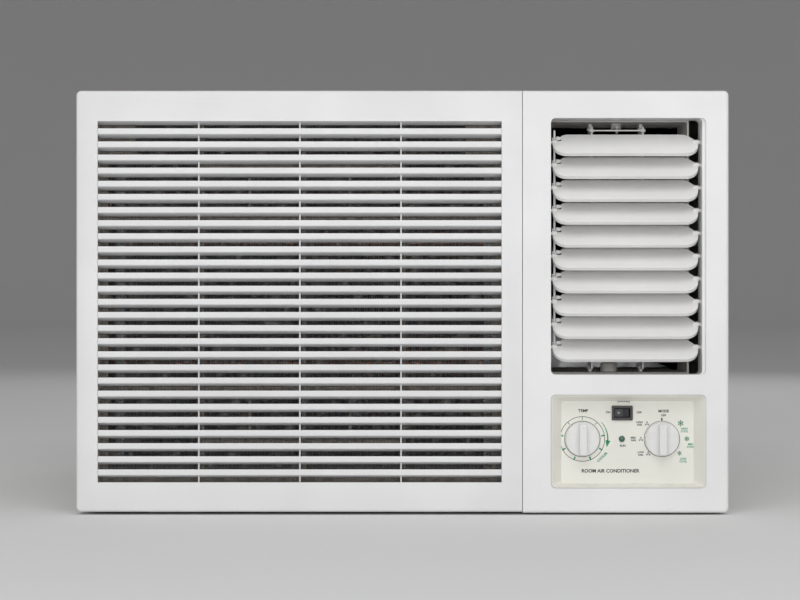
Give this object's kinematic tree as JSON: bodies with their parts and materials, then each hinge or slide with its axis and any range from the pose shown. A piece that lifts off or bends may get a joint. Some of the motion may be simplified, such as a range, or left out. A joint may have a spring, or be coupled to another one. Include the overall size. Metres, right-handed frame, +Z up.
{
  "type": "window air conditioner",
  "caption": "Room air conditioner for a window or wall opening: a chassis that slides from a steel sleeve, with a hinged slatted intake grille, tilting louvers and a recessed control panel.",
  "frame": {"origin": "centre of the footprint, at the bottom of the sleeve", "axes": "+Y from the front panel to the back, +Z up, +X to the right seen from the room"},
  "size_m": [0.66, 0.7, 0.429],
  "materials": {
    "front_plastic": "moulded, soft gloss",
    "louver_plastic": "moulded, satin",
    "panel_plastic": "moulded, fine grain",
    "knob_plastic": "moulded, soft gloss",
    "black_plastic": "moulded, satin",
    "lens_plastic": "clear tinted",
    "filter_plastic": "moulded, matt",
    "filter_mesh": "moulded net",
    "duct_plastic": "moulded, matt",
    "foam": "moulded bead foam",
    "sleeve_paint": "powder coat, satin",
    "galvanised_steel": "zinc coated sheet",
    "fin_aluminium": "bare fin stock",
    "copper": "bare copper tube",
    "compressor_paint": "black enamel",
    "rubber": "moulded"
  },
  "bodies": {
    "cabinet": {"cabinet_sleeve": "sleeve_paint"},
    "intake_grille": {"intake_grille": "front_plastic"},
    "air_filter": {"air_filter_frame": "filter_plastic", "air_filter_net": "filter_mesh"},
    "louver_link": {"louver_link": "louver_plastic"},
    "vane_left": {"vane_left": "louver_plastic"},
    "vane_right": {"vane_right": "louver_plastic"},
    "vane_link": {"vane_link": "louver_plastic"},
    "swing_crank": {"swing_crank": "black_plastic"},
    "thermostat_knob": {"thermostat_knob": "knob_plastic"},
    "selector_knob": {"selector_knob": "knob_plastic"},
    "swing_rocker": {"swing_rocker": "black_plastic"},
    "fan_rotor": {"motor_shaft": "galvanised_steel", "blower_wheel": "black_plastic", "propeller_fan": "black_plastic"},
    "louver_01": {"louver_01": "louver_plastic"},
    "louver_02": {"louver_02": "louver_plastic"},
    "louver_03": {"louver_03": "louver_plastic"},
    "louver_04": {"louver_04": "louver_plastic"},
    "louver_05": {"louver_05": "louver_plastic"},
    "louver_06": {"louver_06": "louver_plastic"},
    "louver_07": {"louver_07": "louver_plastic"},
    "louver_08": {"louver_08": "louver_plastic"},
    "louver_09": {"louver_09": "louver_plastic"},
    "louver_10": {"louver_10": "louver_plastic"},
    "chassis": {"base_pan": "galvanised_steel", "front_frame": "front_plastic", "power_cord_gland": "rubber", "louver_frame": "front_plastic", "air_outlet_duct": "duct_plastic", "swing_motor": "galvanised_steel", "control_panel_tray": "panel_plastic", "run_indicator_lens": "lens_plastic", "thermostat_body": "galvanised_steel", "selector_switch_body": "black_plastic", "rocker_switch_housing": "black_plastic", "control_box": "galvanised_steel", "run_capacitor": "galvanised_steel", "evaporator_fins": "fin_aluminium", "evaporator_left_bends": "copper", "evaporator_right_bends": "copper", "evaporator_drain_pan": "foam", "condenser_fins": "fin_aluminium", "condenser_left_bends": "copper", "condenser_right_bends": "copper", "blower_scroll": "foam", "bulkhead": "galvanised_steel", "fan_motor": "compressor_paint", "motor_bracket": "galvanised_steel", "fan_shroud": "galvanised_steel", "compressor_shell": "compressor_paint", "compressor_grommet_left": "rubber", "compressor_grommet_right": "rubber", "compressor_grommet_rear": "rubber", "compressor_terminal_cover": "black_plastic", "accumulator": "copper", "filter_drier": "copper", "suction_pipe": "copper", "discharge_pipe": "copper", "liquid_line": "copper"}
  },
  "joints": [
    {"name": "chassis_slide", "type": "slide", "parent": "cabinet", "child": "chassis", "axis": [0, -1, 0], "range_m": [0, 0.5]},
    {"name": "grille_hinge", "type": "hinge", "parent": "chassis", "child": "intake_grille", "pos_m": [-0.104, -0.302, 0.4235], "axis": [-1, 0, 0], "range_deg": [0, 80]},
    {"name": "filter_slide", "type": "slide", "parent": "intake_grille", "child": "air_filter", "axis": [0, 0, -1], "range_m": [0, 0.35]},
    {"name": "louver_01_tilt", "type": "hinge", "parent": "chassis", "child": "louver_01", "pos_m": [0.153, -0.331, 0.3779], "axis": [1, 0, 0], "range_deg": [-60, 20]},
    {"name": "louver_02_tilt", "type": "hinge", "parent": "chassis", "child": "louver_02", "pos_m": [0.153, -0.331, 0.35471], "axis": [1, 0, 0], "range_deg": [-60, 20]},
    {"name": "louver_03_tilt", "type": "hinge", "parent": "chassis", "child": "louver_03", "pos_m": [0.153, -0.331, 0.33152], "axis": [1, 0, 0], "range_deg": [-60, 20]},
    {"name": "louver_04_tilt", "type": "hinge", "parent": "chassis", "child": "louver_04", "pos_m": [0.153, -0.331, 0.30833], "axis": [1, 0, 0], "range_deg": [-60, 20]},
    {"name": "louver_05_tilt", "type": "hinge", "parent": "chassis", "child": "louver_05", "pos_m": [0.153, -0.331, 0.28514], "axis": [1, 0, 0], "range_deg": [-60, 20]},
    {"name": "louver_06_tilt", "type": "hinge", "parent": "chassis", "child": "louver_06", "pos_m": [0.153, -0.331, 0.26195], "axis": [1, 0, 0], "range_deg": [-60, 20]},
    {"name": "louver_07_tilt", "type": "hinge", "parent": "chassis", "child": "louver_07", "pos_m": [0.153, -0.331, 0.23876], "axis": [1, 0, 0], "range_deg": [-60, 20]},
    {"name": "louver_08_tilt", "type": "hinge", "parent": "chassis", "child": "louver_08", "pos_m": [0.153, -0.331, 0.21557], "axis": [1, 0, 0], "range_deg": [-60, 20]},
    {"name": "louver_09_tilt", "type": "hinge", "parent": "chassis", "child": "louver_09", "pos_m": [0.153, -0.331, 0.19238], "axis": [1, 0, 0], "range_deg": [-60, 20]},
    {"name": "louver_10_tilt", "type": "hinge", "parent": "chassis", "child": "louver_10", "pos_m": [0.153, -0.331, 0.16919], "axis": [1, 0, 0], "range_deg": [-60, 20]},
    {"name": "louver_link_pivot", "type": "hinge", "parent": "louver_01", "child": "louver_link", "pos_m": [0.1543, -0.324, 0.3821], "axis": [1, 0, 0], "range_deg": [-20, 60]},
    {"name": "vane_left_swing", "type": "hinge", "parent": "chassis", "child": "vane_left", "pos_m": [0.1952, -0.285, 0.15], "axis": [0, 0, 1], "range_deg": [-25.5, 25.5]},
    {"name": "vane_right_swing", "type": "hinge", "parent": "chassis", "child": "vane_right", "pos_m": [0.2479, -0.285, 0.15], "axis": [0, 0, 1], "range_deg": [-25.5, 25.5]},
    {"name": "vane_link_pivot", "type": "hinge", "parent": "vane_left", "child": "vane_link", "pos_m": [0.1952, -0.3045, 0.392], "axis": [0, 0, 1], "range_deg": [-25.5, 25.5]},
    {"name": "swing_crank_turn", "type": "hinge", "parent": "chassis", "child": "swing_crank", "pos_m": [0.2216, -0.29, 0.396], "axis": [0, 0, 1], "range_deg": [-60, 60]},
    {"name": "thermostat_turn", "type": "hinge", "parent": "chassis", "child": "thermostat_knob", "pos_m": [0.1829, -0.3365, 0.076], "axis": [0, -1, 0], "range_deg": [-160, 160]},
    {"name": "selector_turn", "type": "hinge", "parent": "chassis", "child": "selector_knob", "pos_m": [0.2638, -0.3365, 0.076], "axis": [0, -1, 0], "range_deg": [-135, 135]},
    {"name": "swing_rocker_tilt", "type": "hinge", "parent": "chassis", "child": "swing_rocker", "pos_m": [0.22345, -0.334, 0.10245], "axis": [0, 0, 1], "range_deg": [0, 20]},
    {"name": "fan_spin", "type": "hinge", "parent": "chassis", "child": "fan_rotor", "pos_m": [-0.08, -0.07, 0.215], "axis": [0, 1, 0], "continuous": true}
  ],
  "couplings": [
    {"joint": "louver_02_tilt", "follows": "louver_01_tilt", "ratio": 1},
    {"joint": "louver_03_tilt", "follows": "louver_01_tilt", "ratio": 1},
    {"joint": "louver_04_tilt", "follows": "louver_01_tilt", "ratio": 1},
    {"joint": "louver_05_tilt", "follows": "louver_01_tilt", "ratio": 1},
    {"joint": "louver_06_tilt", "follows": "louver_01_tilt", "ratio": 1},
    {"joint": "louver_07_tilt", "follows": "louver_01_tilt", "ratio": 1},
    {"joint": "louver_08_tilt", "follows": "louver_01_tilt", "ratio": 1},
    {"joint": "louver_09_tilt", "follows": "louver_01_tilt", "ratio": 1},
    {"joint": "louver_10_tilt", "follows": "louver_01_tilt", "ratio": 1},
    {"joint": "louver_link_pivot", "follows": "louver_01_tilt", "ratio": -1},
    {"joint": "vane_right_swing", "follows": "vane_left_swing", "ratio": 1},
    {"joint": "vane_link_pivot", "follows": "vane_left_swing", "ratio": -1},
    {"joint": "swing_crank_turn", "follows": "vane_left_swing", "ratio": 2.338}
  ]
}
